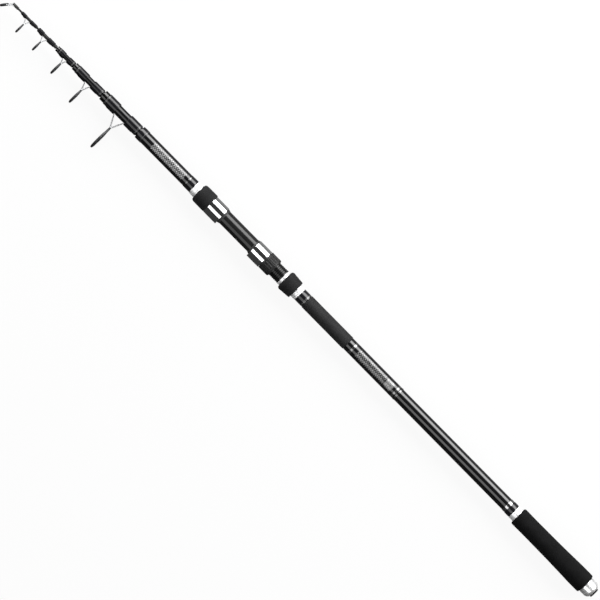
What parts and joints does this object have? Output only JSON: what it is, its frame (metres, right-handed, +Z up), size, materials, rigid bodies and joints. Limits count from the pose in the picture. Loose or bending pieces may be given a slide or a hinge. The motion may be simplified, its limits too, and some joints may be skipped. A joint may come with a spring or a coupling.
{
  "type": "telescopic fishing rod",
  "caption": "Closed telescopic surf fishing rod: nested tapered sections with line guides, screw reel seat, butt grip and metal butt cap.",
  "frame": {"origin": "centre of the flat face at the butt end, on the rod axis", "axes": "+X along the rod to the tip, +Y towards the line guides and the reel foot, +Z up with the rod lying on its side"},
  "size_m": [1.2139, 0.0821, 0.0326],
  "materials": {
    "blank": "clear-coated black fibre laminate",
    "grip": "matte, finely textured",
    "sleeve": "matte shrink sleeve",
    "ring_rubber": "matte",
    "aluminium": "turned and polished",
    "trim": "metallic trim",
    "label": "silver-grey lacquer, clear-coated",
    "wrap": "thread under clear epoxy",
    "seat_plastic": "satin",
    "chrome": "polished",
    "soft_rubber": "matte",
    "guide_steel": "bright stainless strip",
    "float_steel": "dark stainless",
    "ring_insert": "polished dark ceramic"
  },
  "bodies": {
    "butt": {"butt_blank": "blank", "butt_bush": "aluminium", "butt_grip": "grip", "grip_check": "aluminium", "lower_wrap": "wrap", "lower_band": "trim", "label_band": "trim", "label_sleeve": "label", "fore_sleeve": "sleeve", "fore_wrap": "wrap", "fore_check": "aluminium", "bumper_ring": "ring_rubber", "seat_spacer": "aluminium", "seat_body": "seat_plastic", "seat_bed": "seat_plastic", "seat_front": "seat_plastic", "fixed_liner": "seat_plastic", "fixed_hood": "chrome", "front_ring": "ring_rubber", "front_check": "aluminium", "upper_wrap": "wrap", "upper_band": "trim", "mouth_wrap": "wrap"},
    "hood": {"sliding_hood": "chrome", "hood_stop": "seat_plastic", "hood_liner": "seat_plastic"},
    "nut": {"lock_nut": "seat_plastic"},
    "seal": {"cap_seal": "soft_rubber"},
    "cap": {"butt_cap": "aluminium", "cap_pad": "soft_rubber", "section_buffer": "soft_rubber"},
    "section2": {"section2_blank": "blank", "section2_guide_frame": "guide_steel", "section2_guide_ring": "ring_insert", "section2_wraps": "wrap", "section2_mouth_trim": "trim"},
    "section3": {"section3_blank": "blank", "section3_guide_frame": "guide_steel", "section3_guide_ring": "ring_insert", "section3_wraps": "wrap", "section3_mouth_trim": "trim"},
    "section4": {"section4_blank": "blank", "section4_guide_frame": "guide_steel", "section4_guide_ring": "ring_insert", "section4_wraps": "wrap", "section4_mouth_trim": "trim"},
    "tip": {"tip_blank": "blank", "tip_top_frame": "float_steel", "tip_top_ring": "ring_insert"},
    "lower_float": {"lower_float_sleeve": "seat_plastic", "lower_float_frame": "float_steel", "lower_float_wraps": "wrap", "lower_float_ring": "ring_insert"},
    "upper_float": {"upper_float_sleeve": "seat_plastic", "upper_float_frame": "float_steel", "upper_float_wraps": "wrap", "upper_float_ring": "ring_insert"}
  },
  "joints": [
    {"name": "section2_slide", "type": "slide", "parent": "butt", "child": "section2", "axis": [1, 0, 0], "range_m": [0, 0.76]},
    {"name": "section3_slide", "type": "slide", "parent": "section2", "child": "section3", "axis": [1, 0, 0], "range_m": [0, 0.8]},
    {"name": "section4_slide", "type": "slide", "parent": "section3", "child": "section4", "axis": [1, 0, 0], "range_m": [0, 0.85]},
    {"name": "tip_slide", "type": "slide", "parent": "section4", "child": "tip", "axis": [1, 0, 0], "range_m": [0, 0.9]},
    {"name": "lower_float_slide", "type": "slide", "parent": "tip", "child": "lower_float", "axis": [1, 0, 0], "range_m": [-0.5405, 0]},
    {"name": "upper_float_slide", "type": "slide", "parent": "tip", "child": "upper_float", "axis": [1, 0, 0], "range_m": [-0.2705, 0]},
    {"name": "hood_slide", "type": "slide", "parent": "butt", "child": "hood", "axis": [1, 0, 0], "range_m": [-0.0161, 0.0141]},
    {"name": "nut_turn", "type": "hinge", "parent": "hood", "child": "nut", "pos_m": [0.67, 0, 0], "axis": [1, 0, 0], "range_deg": [-1920, 1680]},
    {"name": "cap_travel", "type": "slide", "parent": "butt", "child": "seal", "axis": [1, 0, 0], "range_m": [-0.0201, 0]},
    {"name": "cap_turn", "type": "hinge", "parent": "seal", "child": "cap", "pos_m": [0.0195, 0, 0], "axis": [1, 0, 0], "range_deg": [-3600, 0]}
  ],
  "couplings": [
    {"joint": "lower_float_slide", "follows": "tip_slide", "ratio": -0.6},
    {"joint": "upper_float_slide", "follows": "tip_slide", "ratio": -0.3},
    {"joint": "hood_slide", "follows": "nut_turn", "m_per_rad": 0.00047746},
    {"joint": "cap_travel", "follows": "cap_turn", "m_per_rad": 0.00031831}
  ]
}
